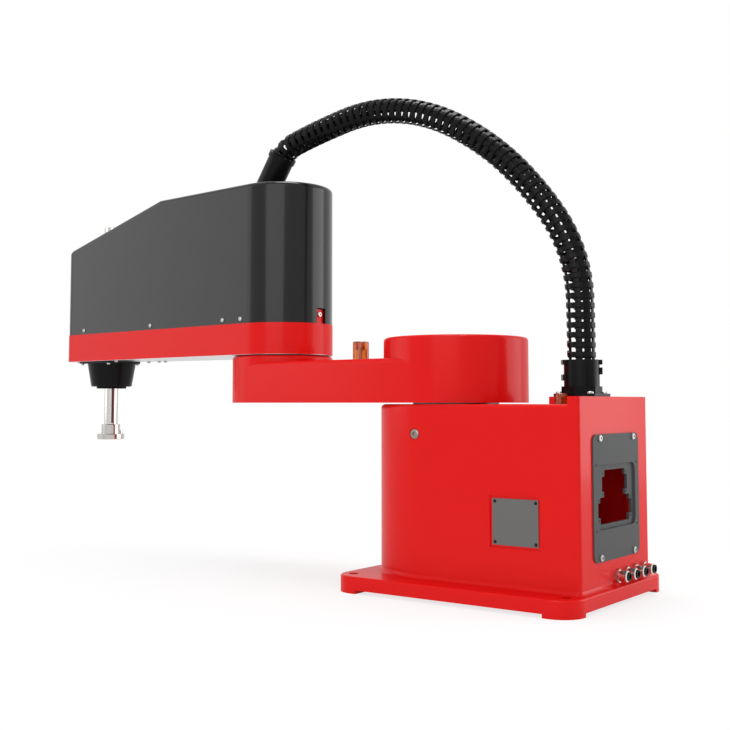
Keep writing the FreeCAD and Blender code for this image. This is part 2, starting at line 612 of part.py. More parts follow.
def air_fittings():
    """Four bulkhead push-in fittings low in the rear wall."""
    body = Piece("fitting_body", node=False)
    body.turned([("tube_radius", "-1 * fitting_in"), ("fitting_thread", "-1 * fitting_in"),
                 ("fitting_thread", "fitting_nut"),
                 ("fitting_radius", "fitting_nut + 0.5"), ("fitting_radius", "fitting_out - 1"),
                 ("fitting_radius - 1", "fitting_out"), ("tube_radius + 1.3", "fitting_out"),
                 ("tube_radius + 1.3", "fitting_out - 4"), ("tube_radius", "fitting_out - 4")])
    nut = Piece("fitting_nut_master", node=False)
    nut.add(nut.hexagon("XY", "fitting_flats"), "fitting_nut")
    nut.cut(nut.discs("XY", [("0", "0")], "fitting_thread + snug", "fitting_nut"), "fitting_nut")
    collet = Piece("fitting_collet", node=False)
    collet.turned([("tube_radius", "fitting_out - 4"), ("tube_radius + 1.25", "fitting_out - 4"),
                   ("tube_radius + 1.25", "fitting_out + 0.4"), ("fitting_radius - 1.2", "fitting_out + 0.4"),
                   ("fitting_radius - 1.2", "fitting_out + 1.8"), ("tube_radius", "fitting_out + 1.8")])
    spots = [("0", "fitting_first - %d * fitting_pitch" % number, "fitting_high", TO_REAR)
             for number in range(4)]
    for name, master in (("fitting_bodies", body), ("fitting_nuts", nut), ("fitting_collets", collet)):
        group(name, master, spots, x="bolt_centre - column_rear")


def conduit_gland():
    """Square flange with four screws, and the gland that holds the conduit, with four lugs."""
    flange = Piece("conduit_flange", x="bolt_centre - conduit_back", z="shelf_top")
    half = "flange_side / 2"
    flange.add(flange.rectangle("XY", "-1 * " + half, "-1 * " + half, half, half), "flange_thick")
    flange.soften("flange_corner", upright)
    spots = corners("flange_side / 2 - flange_corner", "flange_side / 2 - flange_corner")
    flange.cut(flange.discs("XY", [("0", "0")], "cable_radius", "flange_thick"), "flange_thick")
    flange.cut(flange.discs("XY", spots, "screw_radius + snug", "flange_thick"), "flange_thick")
    screw = small_screw("flange_screw")
    group("flange_screws", screw, [(x, y, "flange_thick", UP) for x, y in spots],
          x="bolt_centre - conduit_back", z="shelf_top")
    gland = Piece("conduit_gland", x="bolt_centre - conduit_back", z="shelf_top + flange_thick",
                  turn=Rotation(Vector(0, 0, 1), value("gland_turn")))
    gland.add(gland.hexagon("XY", "gland_flats"), "gland_hex_high")
    top = "gland_hex_high + gland_high"
    gland.turned([("cable_radius", "0"), ("gland_radius - 1", "0"), ("gland_radius", "gland_hex_high"),
                  ("gland_radius", top), ("conduit_radius + turn_gap", top),
                  ("conduit_radius + turn_gap", top + " - gland_seat"),
                  ("cable_radius", top + " - gland_seat")])
    gland.cut(gland.discs("XY", [("0", "0")], "cable_radius", "gland_hex_high"), "gland_hex_high")
    for side, low, high in LUGS:
        foot = "gland_hex_high + gland_high * %s" % low
        root, face = sorted((side + "(gland_radius - 1)", side + "gland_lug"), key=value)
        gland.add(gland.rectangle("XY", root, "-1 * gland_lug_half", face, "gland_lug_half", foot),
                  "gland_high * %s - gland_high * %s" % (high, low))
    gland.cut(gland.rectangle("XZ", "-2 * gland_slot", "gland_hex_high", "-1 * gland_slot",
                              "gland_hex_high + gland_high * 0.72", "gland_radius"), "gland_slot")


def first_stops():
    """Two clear rubber stops of the first axis, each on a screw."""
    stop = Piece("j1_stop_master", node=False)
    seat = "stop_high * 0.45"
    stop.turned([("screw_radius + snug", "0"), ("stop_radius", "0"), ("stop_radius", "stop_high - 1"),
                 ("stop_radius - 1", "stop_high"),
                 ("screw_head + turn_gap", "stop_high"), ("screw_head + turn_gap", seat),
                 ("screw_radius + snug", seat)])
    screw = small_screw("stop_screw", head_high="stop_high * 0.4", long="%s + screw_long" % seat)
    sides = ("stop_side", "-1 * stop_side")
    group("j1_stop_bumpers", stop, [("-1 * stop_back", side, "column_top", UP) for side in sides], x=J1)
    group("j1_stop_screws", screw, [("-1 * stop_back", side, "column_top + " + seat, UP) for side in sides],
          x=J1)


def first_drive():
    """Bearing ring, reducer and motor of the first axis, inside the column."""
    ring_low = "column_top - bearing_high"
    ring = Piece("j1_bearing", x=J1, z=ring_low)
    ring.turned([("bearing_bore - bearing_wall", "0"), ("bearing_bore - snug", "0"),
                 ("bearing_bore - snug", "bearing_high"),
                 ("bearing_bore - bearing_wall", "bearing_high")])
    reducer = Piece("j1_reducer", x=J1, z=ring_low)
    reducer.turned([("0", "-12"), ("bearing_bore - snug", "-12"), ("bearing_bore - snug", "0"), ("0", "0")])
    motor = Piece("j1_motor", x=J1, z=ring_low + " - 12")
    half = "motor_side * 0.6"
    motor.add(motor.rectangle("XY", "-1 * " + half, "-1 * " + half, half, half), "motor_high", toward=-1)
    motor.soften("plate_round * 2", upright)


def arm_one_casting():
    """First arm: two drums joined by a beam with rounded top edges, ribbed underneath."""
    arm = Piece("arm_1_casting", x=J1, z=ARM_LOW)
    arm.add(arm.outline("XY", hull("drum_radius", "elbow_radius", "reach_one")), "beam_high")
    half_way = value("reach_one") / 2
    arm.soften("beam_round",
               lambda edge: level(edge, value("beam_high")) and edge.BoundBox.XLength > half_way)
    arm.add(arm.discs("XY", [("0", "0")], "drum_radius"), "drum_high")
    arm.add(arm.discs("XY", [("reach_one", "0")], "elbow_radius"), "elbow_high")
    arm.soften("drum_round", lambda edge: level(edge, value("drum_high")) or level(edge, value("elbow_high")))
    arm.cut(arm.discs("XY", [("reach_one", "0")], "wrist_bore", "elbow_high"), "wrist_deep")
    ring = arm.sketch("XY", "0")
    for index, radius in enumerate(("drum_radius - arm_wall", "bearing_bore")):
        ring.addGeometry(Part.Circle(Vector(), Vector(0, 0, 1), value(radius)), False)
        row = ring.addConstraint(Sketcher.Constraint("Radius", index, value(radius)))
        ring.setExpression("Constraints[%d]" % row, bound(radius))
        ring.addConstraint(Sketcher.Constraint("Coincident", index, 3, -1, 1))
    arm.cut(ring, "drum_high - arm_wall", toward=1)
    slope = "(drum_radius - elbow_radius) / reach_one"
    spots = [("drum_radius + arm_wall", "buffer_at - rib_thick"),
             ("buffer_at + rib_thick", "reach_one - elbow_radius - arm_wall")]
    for start, stop in spots:
        near, far = ["drum_radius - (%s) * (%s) - arm_wall" % (x, slope) for x in (start, stop)]
        left = [(start, "rib_thick / 2"), (stop, "rib_thick / 2"), (stop, far), (start, near)]
        right = [(x, "-1 * (%s)" % y) for x, y in reversed(left)]
        for pocket in (left, right):
            arm.cut(arm.outline("XY", pocket), "beam_high - arm_wall", toward=1)
    arm.cut(arm.discs("XY", [("buffer_at", "0")], "screw_radius + snug", "beam_high"), "screw_long")
    hub = Piece("j1_output_flange", x=J1, z=ARM_LOW)
    low = "-1 * (joint_gap + bearing_high - turn_gap)"
    hub.turned([("0", low), ("bearing_bore - bearing_wall - turn_gap", low),
                ("bearing_bore - bearing_wall - turn_gap", "0"), ("0", "0")])


def second_stop():
    """Tall clear stop of the second axis on the beam, with its screw."""
    stop = Piece("j2_stop_bumper", x="bolt_centre + buffer_at", z=ARM_LOW + " + beam_high")
    seat = "buffer_high * 0.6"
    stop.turned([("screw_radius + snug", "0"), ("buffer_radius", "0"), ("buffer_radius", "buffer_high - 1"),
                 ("buffer_radius - 1", "buffer_high"), ("screw_head * 1.4 + turn_gap", "buffer_high"),
                 ("screw_head * 1.4 + turn_gap", seat),
                 ("screw_radius + snug", seat)])
    screw = small_screw("j2_stop_master", head="screw_head * 1.4", head_high="buffer_high * 0.22",
                        long=seat + " + screw_long")
    group("j2_stop_screw", screw, [("0", "0", seat, UP)], x="bolt_centre + buffer_at",
          z=ARM_LOW + " + beam_high")


def second_drive():
    """Reducer in the outer drum, the flange that carries the second arm, and the motor."""
    floor = "%s - wrist_deep" % ELBOW_TOP
    reducer = Piece("j2_reducer", x=J2, z=floor)
    top = "wrist_deep + elbow_gap - wrist_hub_high - turn_gap"
    reducer.turned([("0", "0"), ("wrist_bore - snug", "0"), ("wrist_bore - snug", "wrist_deep - 1"),
                    ("wrist_hub + turn_gap", "wrist_deep - 1"), ("wrist_hub + turn_gap", top), ("0", top)])
    hub = Piece("j2_output_flange", x=J2, z=TRAY_LOW)
    hub.turned([("0", "-1 * wrist_hub_high"), ("wrist_hub", "-1 * wrist_hub_high"), ("wrist_hub", "0"),
                ("0", "0")])
    motor = Piece("j2_motor", x=J2, z=FLOOR_TOP)
    half = "motor_side / 2"
    motor.add(motor.rectangle("XY", "-1 * " + half, "-1 * " + half, half, half), "motor_high")
    motor.soften("plate_round * 2", upright)


def arm_two_outline(piece, inset, lift="0"):
    """Outline of the second arm: a round about the second axis and two tapering sides."""
    round_radius = "(elbow_radius - (%s))" % inset
    front = "(reach_two + arm_front - (%s))" % inset
    touch_x, touch_y = "%s * sin(%s)" % (round_radius, ARM_TAPER), "%s * cos(%s)" % (round_radius, ARM_TAPER)
    front_y = "(%s - %s * sin(%s)) / cos(%s)" % (round_radius, front, ARM_TAPER, ARM_TAPER)
    points = [(touch_x, "-1 * " + touch_y), (front, "-1 * " + front_y), (front, front_y), (touch_x, touch_y)]
    return piece.outline("XY", points, lift), piece.discs("XY", [("0", "0")], round_radius, lift)


def arm_two_casting():
    """Second arm: a tapering tray with the shaft's bore and the rear earth boss."""
    tray = Piece("arm_2_casting", x=J2, z=TRAY_LOW)
    for drawing in arm_two_outline(tray, "0"):
        tray.add(drawing, "tray_high")
    front = value("reach_two + arm_front")
    tray.soften("arm_front_round", lambda edge: upright(edge) and abs(ends(edge)[0].x - front) < SLIGHT)
    for drawing in arm_two_outline(tray, "arm_wall", "tray_high"):
        tray.cut(drawing, "tray_high - tray_floor")
    boss = "-1 * elbow_radius + cover_inset + cover_wall + 1"
    tray.add(tray.rectangle("XY", boss, "-1 * ground_half + 0.5", boss + " + 8", "ground_half - 0.5",
                            "tray_floor"),
             "tray_high - tray_floor + ground_high - 1")
    tray.cut(tray.discs("YZ", [("0", "tray_high + ground_high * 0.6")], "screw_radius + snug", boss),
             "screw_long", toward=1)
    tray.cut(tray.discs("XY", [("reach_two", "0")], "spline_radius + spline_race + snug", "tray_floor"),
             "tray_floor")
    screws = [("reach_two + (%s)" % ahead, side + "nose_row") for ahead, side in TRAY_SCREWS]
    tray.cut(tray.discs("XY", screws, "screw_radius * 0.75 + snug"), "nose_thick", toward=1)
    screw = small_screw("ground_master", long="screw_long - 1")
    group("ground_screw", screw, [(boss, "0", "tray_high + ground_high * 0.6", TO_REAR)], x=J2, z=TRAY_LOW)


def cover_block(name, inset):
    """The cover's form, moved inwards: flat over the motors, sloping down to a rounded brow."""
    drop = "(%s - cover_inset)" % inset
    high = "(cover_high - %s)" % drop
    front = "(reach_two + arm_front - %s)" % inset
    start = "(cover_flat - %s * tan(cover_slope / 2))" % drop
    block = Piece(name, node=False)
    for drawing in arm_two_outline(block, inset):
        block.add(drawing, high)
    block.soften("arm_front_round - " + drop,
                 lambda edge: upright(edge) and abs(ends(edge)[0].x - value(front)) < SLIGHT)
    corner_z = "(%s - (%s - %s) * tan(cover_slope))" % (high, front, start)
    beyond = "%s - 5 * tan(cover_slope)" % corner_z
    block.cut(block.outline("XZ", [(start, high), (front + " + 5", beyond), (front + " + 5", high)],
                            "elbow_radius + 1"),
              "2 * elbow_radius + 2")
    if name == "cover_form":
        lowest = value(corner_z)
        block.soften("cover_round", lambda edge: not upright(edge) and edge.BoundBox.ZMin > lowest - SLIGHT)
    brow = "(cover_brow - %s)" % drop
    tangent = "(%s * tan(45 - cover_slope / 2))" % brow
    upper = ("%s - %s * cos(cover_slope)" % (front, tangent),
             "%s + %s * sin(cover_slope)" % (corner_z, tangent))
    lower = (front, "%s - %s" % (corner_z, tangent))
    block.cut(block.outline("XZ", [upper, (upper[0], upper[1] + " + 5"), (front + " + 5", upper[1] + " + 5"),
                                   (front + " + 5", lower[1]), lower], "elbow_radius + 1", arcs={4: brow}),
              "2 * elbow_radius + 2")
    return block


def upper_cover():
    """Thin moulded cover over the second arm, open below, with screws along both sides."""
    form = cover_block("cover_form", "cover_inset")
    core = cover_block("cover_core", "(cover_inset + cover_wall)")
    form.cut(form.discs("XY", [("reach_two", "0")], "collar_hole", "cover_high"), "cover_high")
    form.cut(form.discs("XY", [("elbow_ahead + elbow_rise * tan(elbow_lean)", "0")], "cable_radius - 1",
                        "cover_high"),
             "cover_wall + 1")
    form.cut(form.rectangle("YZ", "-1 * ground_half", "0", "ground_half", "ground_high", "-1 * elbow_radius"),
             "cover_wall + 3", toward=1)
    shank = "screw_radius * 0.75"
    screw = small_screw("cover_screw", head="screw_head * 0.75", head_high="screw_head_high * 0.7",
                        shank=shank, long="cover_wall + 2")
    hole = Piece("cover_hole", node=False)
    hole.turned([("0", "-3 * cover_wall"), (shank + " + snug", "-3 * cover_wall"), (shank + " + snug", "1"),
                 ("0", "1")])
    spots = []
    for along in ("screw_first", "screw_second", "screw_third", "screw_fourth"):
        side = "((elbow_radius - cover_inset - (%s) * sin(%s)) / cos(%s))" % (along, ARM_TAPER, ARM_TAPER)
        for sign, turn, swing in (("", TO_LEFT, -1), ("-1 * ", TO_RIGHT, 1)):
            lean = Rotation(Vector(0, 0, 1), swing * value(ARM_TAPER))
            spots.append((along, sign + side, "cover_screw_high", lean * turn))
    group("cover_screws", screw, spots, x=J2, z=TRAY_TOP)
    shell = less("cover_shell", form.body, core.body)
    nodes["upper_cover"] = less("upper_cover", shell, group("cover_holes", hole, spots, node=False), J2,
                                "0", TRAY_TOP)


def elbow_tube():
    """Leaning tube on the cover whose collared mouth takes the conduit's end."""
    blank = Piece("elbow_blank", node=False, x="0", y="0", z="0",
                  turn=Rotation(Vector(0, 1, 0), -value("elbow_lean")))
    foot = "-1 * (elbow_rise / cos(elbow_lean) + elbow_tube)"
    blank.turned([("cable_radius", foot), ("elbow_tube", foot), ("elbow_tube", "-1 * elbow_collar_long"),
                  ("elbow_collar", "-1 * elbow_collar_long"), ("elbow_collar", "0"),
                  ("conduit_radius + turn_gap", "0"),
                  ("conduit_radius + turn_gap", "-1 * elbow_seat"), ("cable_radius", "-1 * elbow_seat")])
    below = doc.addObject("Part::Box", "elbow_below")
    for size in ("Length", "Width", "Height"):
        below.setExpression(size, bound("4 * elbow_rise"))
    place(below, "-2 * elbow_rise", "-2 * elbow_rise", "-5 * elbow_rise")
    nodes["elbow_tube"] = less("elbow_tube", blank.body, below, J2 + " + elbow_ahead", "0",
                               COVER_TOP + " + elbow_rise")


def nose():
    """Square flange, cone and sealing lip round the shaft under the second arm."""
    bore = "spline_radius + spline_race + snug"
    flange = Piece("nose_flange", x=J3, z=TRAY_LOW)
    flange.add(flange.rectangle("XY", "nose_ahead - nose_side_x / 2", "nose_side_y / -2",
                                "nose_ahead + nose_side_x / 2", "nose_side_y / 2"), "nose_thick", toward=-1)
    flange.soften("plate_round", upright)
    flange.cut(flange.discs("XY", [("0", "0")], bore), "nose_thick")
    spots = [("nose_ahead + (%s)" % x, y) for x, y in corners("nose_side_x / 2 - 3", "nose_row")]
    cone = Piece("nose_cone", x=J3, z=TRAY_LOW + " - nose_thick")
    low = "-1 * (nose_low - nose_thick)"
    cone.turned([(bore, "0"), ("nose_radius", "0"), ("nose_end + 1", low + " + 1"), ("nose_end", low),
                 ("lip_radius - 1", low),
                 ("lip_radius - 1", low + " + nose_wall"), ("nose_end - nose_wall", low + " + nose_wall")])
    lip = Piece("nose_seal", x=J3, z=TRAY_LOW + " - nose_low")
    lip.turned([("shaft_radius + turn_gap", "-1 * lip_high"), ("lip_radius", "-1 * lip_high"),
                ("lip_radius", "0"),
                ("lip_radius - 1 - snug", "0"), ("lip_radius - 1 - snug", "nose_wall"),
                ("shaft_radius + turn_gap", "nose_wall")])
    flange.cut(flange.discs("XY", spots, "screw_radius * 0.75 + snug", "-1 * nose_thick"), "nose_thick",
               toward=1)
    screw = small_screw("underside_screw", head="screw_head * 0.7", head_high="screw_head_high",
                        shank="screw_radius * 0.75", long="nose_thick")
    down = Rotation(Vector(1, 0, 0), 180)
    heads = [(x, y, "-1 * nose_thick", down) for x, y in spots]
    heads += [(ahead, side + "nose_row", "0", down) for ahead, side in TRAY_SCREWS]
    group("underside_screws", screw, heads, x=J3, z=TRAY_LOW)


def shaft():
    """Hollow spline shaft with its upper stop collar and the tool flange below."""
    length = "(shaft_top - tool_low)"
    rod = Piece("shaft", x=J3, z="tool_low")
    rod.turned([("shaft_bore", "0"), ("shaft_radius", "0"), ("shaft_radius", length), ("shaft_bore", length)])
    grooves = [("(shaft_radius + 0.6) * cos(%d)" % turn, "(shaft_radius + 0.6) * sin(%d)" % turn)
               for turn in range(30, 390, 120)]
    rod.cut(rod.discs("XY", grooves, "shaft_radius * 0.16", length),
            length + " - tool_thick - tool_hub_high - 2")
    collar = Piece("stop_collar", x=J3, z="shaft_top - collar_high")
    inner = "shaft_radius + snug"
    collar.turned([(inner, "0"), ("collar_radius", "0"), ("collar_radius", "collar_high - bevel"),
                   ("collar_radius - bevel", "collar_high"), (inner, "collar_high")])
    flange = Piece("tool_flange", x=J3, z="tool_low")
    top = "tool_thick + tool_hub_high"
    flange.turned([(inner, "0"), ("tool_radius - bevel", "0"), ("tool_radius", "bevel"),
                   ("tool_radius", "tool_thick - bevel"), ("tool_radius - bevel", "tool_thick"),
                   ("tool_hub", "tool_thick"), ("tool_hub", top + " - bevel"), ("tool_hub - bevel", top),
                   (inner, top)])
    holes = [("tool_pitch / 2 * cos(%d)" % turn, "tool_pitch / 2 * sin(%d)" % turn)
             for turn in (0, 90, 180, 270)]
    flange.cut(flange.discs("XY", holes, "tool_hole", "tool_thick"), "tool_thick")
    ear = [("tool_hub * cos(225)", "tool_hub * sin(225)")]
    flange.add(flange.discs("XY", ear, "tool_ear", "tool_thick"), "tool_ear_high")
    height = "tool_thick + tool_hub_high * 0.6"
    flange.cut(flange.discs("YZ", [("0", height)], "screw_radius + snug", "tool_hub"),
               "tool_hub - shaft_radius")
    screw = Piece("clamp_screw", x=J3, z="tool_low + " + height, turn=Rotation(Vector(0, 1, 0), 90))
    foot, face = "shaft_radius + 0.2", "tool_hub - 0.6"
    screw.turned([("0", foot), ("screw_radius", foot), ("screw_radius", face), ("0", face)])


def pulley(name, x, z, bore, radius, high):
    """Belt pulley with a rim above and below, round a bore."""
    wheel = Piece(name, x=x, z=z)
    edge = radius + " + rim"
    wheel.turned([(bore, "0"), (edge, "0"), (edge, "rim"), (radius, "rim"), (radius, "rim + belt_wide"),
                  (edge, "rim + belt_wide"), (edge, high), (bore, high)])
    return wheel


def shaft_drive():
    """Spline nut and screw nut on the shaft, each with a pulley, belt and motor."""
    high = "(2 * rim + belt_wide)"
    lower = FLOOR_TOP + " + stack_gap / 2"
    upper = lower + " + %s + stack_gap" % high
    bracket_low = upper + " + %s + stack_gap" % high
    inner = "shaft_radius + snug"
    race = Piece("spline_bearing", x=J3, z=TRAY_LOW)
    race.turned([("spline_radius + turn_gap", "0"), ("spline_radius + spline_race", "0"),
                 ("spline_radius + spline_race", "tray_floor"),
                 ("spline_radius + turn_gap", "tray_floor")])
    nut = Piece("spline_nut", x=J3, z=lower)
    foot = "-1 * (stack_gap / 2 + tray_floor + nose_low * 0.75)"
    nut.turned([(inner, foot), ("spline_radius", foot), ("spline_radius", high), (inner, high)])
    pulley("spline_pulley", J3, lower, "spline_radius + snug", "spline_pulley", high)
    screw_nut = Piece("screw_nut", x=J3, z=upper)
    top = high + " + stack_gap + bracket_thick"
    screw_nut.turned([(inner, "0"), ("nut_radius", "0"), ("nut_radius", top), (inner, top)])
    pulley("screw_pulley", J3, upper, "nut_radius + snug", "screw_pulley", high)
    drives = [("j4", "motor_four_at", lower, "spline_drive", "spline_pulley"),
              ("j3", "motor_three_at", upper, "screw_drive", "screw_pulley")]
    for joint, along, level_z, drive, driven in drives:
        x = J2 + " + " + along
        wheel = pulley(joint + "_motor_pulley", x, level_z, "motor_shaft * 0.5", drive, high)
        stem = "%s - (%s) + bracket_thick - turn_gap" % (bracket_low, level_z)
        wheel.turned([("0", "0"), ("motor_shaft * 0.5", "0"), ("motor_shaft * 0.5", high),
                      ("motor_shaft", high),
                      ("motor_shaft", stem), ("0", stem)])
        belt = Piece(joint + "_belt", x=x, z="%s + rim" % level_z)
        distance = "(reach_two - %s)" % along
        for gap, work in (("turn_gap + belt_thick", belt.add), ("turn_gap", belt.cut)):
            small, large = drive + " + " + gap, driven + " + " + gap
            lift = "0" if work == belt.add else "belt_wide"
            work(belt.outline("XY", hull(small, large, distance), lift), "belt_wide")
            work(belt.discs("XY", [("0", "0")], small, lift), "belt_wide")
            work(belt.discs("XY", [(distance, "0")], large, lift), "belt_wide")
        motor = Piece(joint + "_motor", x=x, z=bracket_low + " + bracket_thick")
        half = "motor_side / 2"
        motor.add(motor.rectangle("XY", "-1 * " + half, "-1 * " + half, half, half), "motor_high")
        motor.soften("plate_round * 2", upright)
    bracket = Piece("motor_bracket", x=J2, z=bracket_low)
    rear, front = "motor_four_at - motor_side / 2 - bracket_over", BRACKET_FRONT
    bracket.add(bracket.rectangle("XY", rear, "-1 * " + BRACKET_HALF, front, BRACKET_HALF), "bracket_thick")
    bracket.add(bracket.rectangle("XY", front, "-1 * (nut_radius + 6)", "reach_two + nut_radius + 6",
                                  "nut_radius + 6"), "bracket_thick")
    legs = "%s - (%s)" % (bracket_low, FLOOR_TOP)
    for low_y, high_y in (("-1 * " + BRACKET_HALF, "bracket_leg - " + BRACKET_HALF),
                          (BRACKET_HALF + " - bracket_leg", BRACKET_HALF)):
        bracket.add(bracket.rectangle("XY", rear, low_y, front, high_y), legs, toward=-1)
    for along, radius in (("motor_four_at", "motor_shaft"), ("motor_three_at", "motor_shaft"),
                          ("reach_two", "nut_radius")):
        bracket.cut(bracket.discs("XY", [(along, "0")], radius + " + turn_gap", "bracket_thick"),
                    "bracket_thick")


def conduit(name, spots, reaches):
    """Tube along straight runs joined by tangent arcs, in the plane of the stretched arm."""
    edges, here = [], spots[0]
    for before, corner, after, reach in zip(spots, spots[1:], spots[2:], reaches):
        back, ahead = (before - corner).normalize(), (after - corner).normalize()
        turn = math.pi - back.getAngle(ahead)
        radius = reach / math.tan(turn / 2)
        first, last = corner + back * reach, corner + ahead * reach
        inward = (back + ahead).normalize()
        middle = corner + inward * (radius / math.cos(turn / 2) - radius)
        edges += [Part.LineSegment(here, first).toShape(), Part.Arc(first, middle, last).toShape()]
        here = last
        print("%s turns %.1f degrees on a radius of %.0f" % (name, math.degrees(turn), radius))
    edges.append(Part.LineSegment(here, spots[-1]).toShape())
    path = Part.Wire(edges)
    start = (spots[1] - spots[0]).normalize()
    ring = Part.Wire(Part.Circle(spots[0], start, value("conduit_radius")).toShape())
    tube = path.makePipeShell([ring], True, False)
    section = math.pi * value("conduit_radius") ** 2
    print("%s volume %.0f, section times length %.0f" % (name, tube.Volume, section * path.Length))
    piece = doc.addObject("Part::Feature", name)
    piece.Label = name
    piece.Shape = tube
    place(piece, J1, "0", "0")
    nodes[name] = piece


def conduits():
    """The hose in two lengths that meet over the arm, from the gland's seat to the seat in the tube."""
    lean = math.radians(value("elbow_lean"))
    dive = Vector(math.sin(lean), 0, -math.cos(lean))
    mouth = Vector(value("reach_one + elbow_ahead"), 0, value(COVER_TOP + " + elbow_rise"))
    gland_mouth = value("shelf_top + flange_thick + gland_hex_high + gland_high")
    first = Vector(-value("conduit_back"), 0, gland_mouth - value("gland_seat"))
    last = mouth + dive * value("elbow_seat")
    way = last - first
    rise = [first, first + Vector(0, 0, value("conduit_rise"))]
    rise += [first + Vector(way.x * ahead, 0, way.z * up) for ahead, up in RISE]
    fall = [first + Vector(way.x * ahead, 0, way.z * up) for ahead, up in FALL]
    fall += [mouth - dive * value("conduit_dive"), last]
    spots = rise + fall
    runs = [after.distanceToPoint(before) for before, after in zip(spots, spots[1:])]
    reaches = [0.45 * min(pair) for pair in zip(runs, runs[1:])]
    join = (rise[-1] + fall[0]) * 0.5
    conduit("conduit_lower", rise + [join], reaches[:len(rise) - 1])
    conduit("conduit_upper", [join] + fall, reaches[len(rise) - 1:])


def build():
    base_casting()
    connector_panel()
    nameplate()
    side_plug()
    air_fittings()
    conduit_gland()
    first_stops()
    first_drive()
    arm_one_casting()
    second_stop()
    second_drive()
    arm_two_casting()
    upper_cover()
    elbow_tube()
    nose()
    shaft()
    shaft_drive()
    conduits()


build()
doc.recompute()
for thing in doc.Objects:
    if "Invalid" in thing.State or "Error" in thing.State:
        raise RuntimeError("%s failed: %s" % (thing.Label, thing.State))
os.makedirs("parts", exist_ok=True)
for name, node in nodes.items():
    if node.Shape.isNull() or not node.Shape.isValid():
        raise RuntimeError("%s has no valid shape" % name)
    node.Shape.exportStep("parts/%s.step" % name)
    print("%-20s solids %d volume %.0f" % (name, len(node.Shape.Solids), node.Shape.Volume))
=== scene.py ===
import math

import bmesh
import bpy
from mathutils import Matrix, Vector


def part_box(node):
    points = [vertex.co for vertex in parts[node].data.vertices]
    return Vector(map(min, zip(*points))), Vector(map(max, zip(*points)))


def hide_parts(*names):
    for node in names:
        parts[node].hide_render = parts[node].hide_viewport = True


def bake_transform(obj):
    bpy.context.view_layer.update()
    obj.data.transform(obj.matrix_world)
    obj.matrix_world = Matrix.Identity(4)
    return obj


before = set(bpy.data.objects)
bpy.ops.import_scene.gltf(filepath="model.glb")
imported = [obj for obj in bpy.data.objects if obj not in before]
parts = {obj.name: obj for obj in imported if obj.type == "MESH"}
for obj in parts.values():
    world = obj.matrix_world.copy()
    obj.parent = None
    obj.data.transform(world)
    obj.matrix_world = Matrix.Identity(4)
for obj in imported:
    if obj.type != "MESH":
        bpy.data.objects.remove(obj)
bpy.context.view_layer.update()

# Camera
# It stands off the rear left corner, about as high as the column, and looks up by four degrees.
# The shift brings the middle of the picture down to the arm, as in the photograph.
camera_rise, camera_turn = 4.0, 36.6
camera = bpy.data.objects.new("camera", bpy.data.cameras.new("camera"))
bpy.context.collection.objects.link(camera)
camera.data.sensor_width = 36
camera.data.lens = 54.33
camera.data.shift_x = 0.0007
camera.data.shift_y = -0.0537
camera.location = (-0.6224, 1.0913, 0.2084)
camera.rotation_euler = (math.radians(90 + camera_rise), 0, math.radians(180 + camera_turn))
bpy.context.scene.camera = camera


# Conduit
# An open hose of moulded black polyamide that holds the cables: about sixty like rings on a few bars
# that run along it, with free teeth on the inside of the bend. It leaves the gland on the column
# upright, arches over the arm and dives into the collar of the tube on the cover.
def tone(text):
    """Linear colour of an sRGB hex value."""
    shares = [int(text[at:at + 2], 16) / 255 for at in (1, 3, 5)]
    return [share / 12.92 if share <= 0.04045 else ((share + 0.055) / 1.055) ** 2.4 for share in shares] + [1]


def add_node(tree, kind, settings=None, **links):
    """A node with its settings; a link is the value of an input or the output that feeds it."""
    node = tree.nodes.new(kind)
    for name, value in (settings or {}).items():
        setattr(node, name, value)
    for name, value in links.items():
        numbered = name[0] == "i" and name[1:].isdigit()
        socket = node.inputs[int(name[1:]) if numbered else name.replace("_", " ")]
        if isinstance(value, bpy.types.NodeSocket):
            tree.links.new(value, socket)
        else:
            socket.default_value = value
    return node


def new_material(name):
    """An empty material, with its tree and its surface shader."""
    material = bpy.data.materials.new(name)
    material.use_nodes = True
    tree = material.node_tree
    return material, tree, tree.nodes["Principled BSDF"]


def grained_finish(name, colour, worn, roughness, grain_mm, sheen=0.1):
    """Moulded plastic or rubber, or textured paint: a fine grain, and paler patches as wiping leaves."""
    patch_mm = 55.56
    grain_strength, grain_deep = 0.12, 0.0002
    gloss_spread = 0.07
    material, tree, surface = new_material(name)
    place = add_node(tree, "ShaderNodeTexCoord").outputs["Object"]
    patch = add_node(tree, "ShaderNodeTexNoise", Vector=place, Scale=1000 / patch_mm, Detail=3)
    shade = add_node(tree, "ShaderNodeMix", {"data_type": "RGBA"}, Factor=patch.outputs[0],
                     i6=tone(colour), i7=tone(worn))
    # The grain that a spark-eroded mould or a textured paint leaves is some hundredths of a
    # millimetre wide, too fine to show; it is drawn about ten times as coarse
    grain = add_node(tree, "ShaderNodeTexNoise", Vector=place, Scale=1000 / grain_mm, Detail=2)
    relief = add_node(tree, "ShaderNodeBump", Strength=grain_strength, Distance=grain_deep,
                      Height=grain.outputs[0])
    gloss = add_node(tree, "ShaderNodeMapRange", Value=grain.outputs[0], i3=roughness - gloss_spread,
                     i4=roughness + gloss_spread)
    tree.links.new(shade.outputs[2], surface.inputs["Base Color"])
    tree.links.new(gloss.outputs[0], surface.inputs["Roughness"])
    tree.links.new(relief.outputs[0], surface.inputs["Normal"])
    surface.inputs["Specular IOR Level"].default_value = sheen
    return material


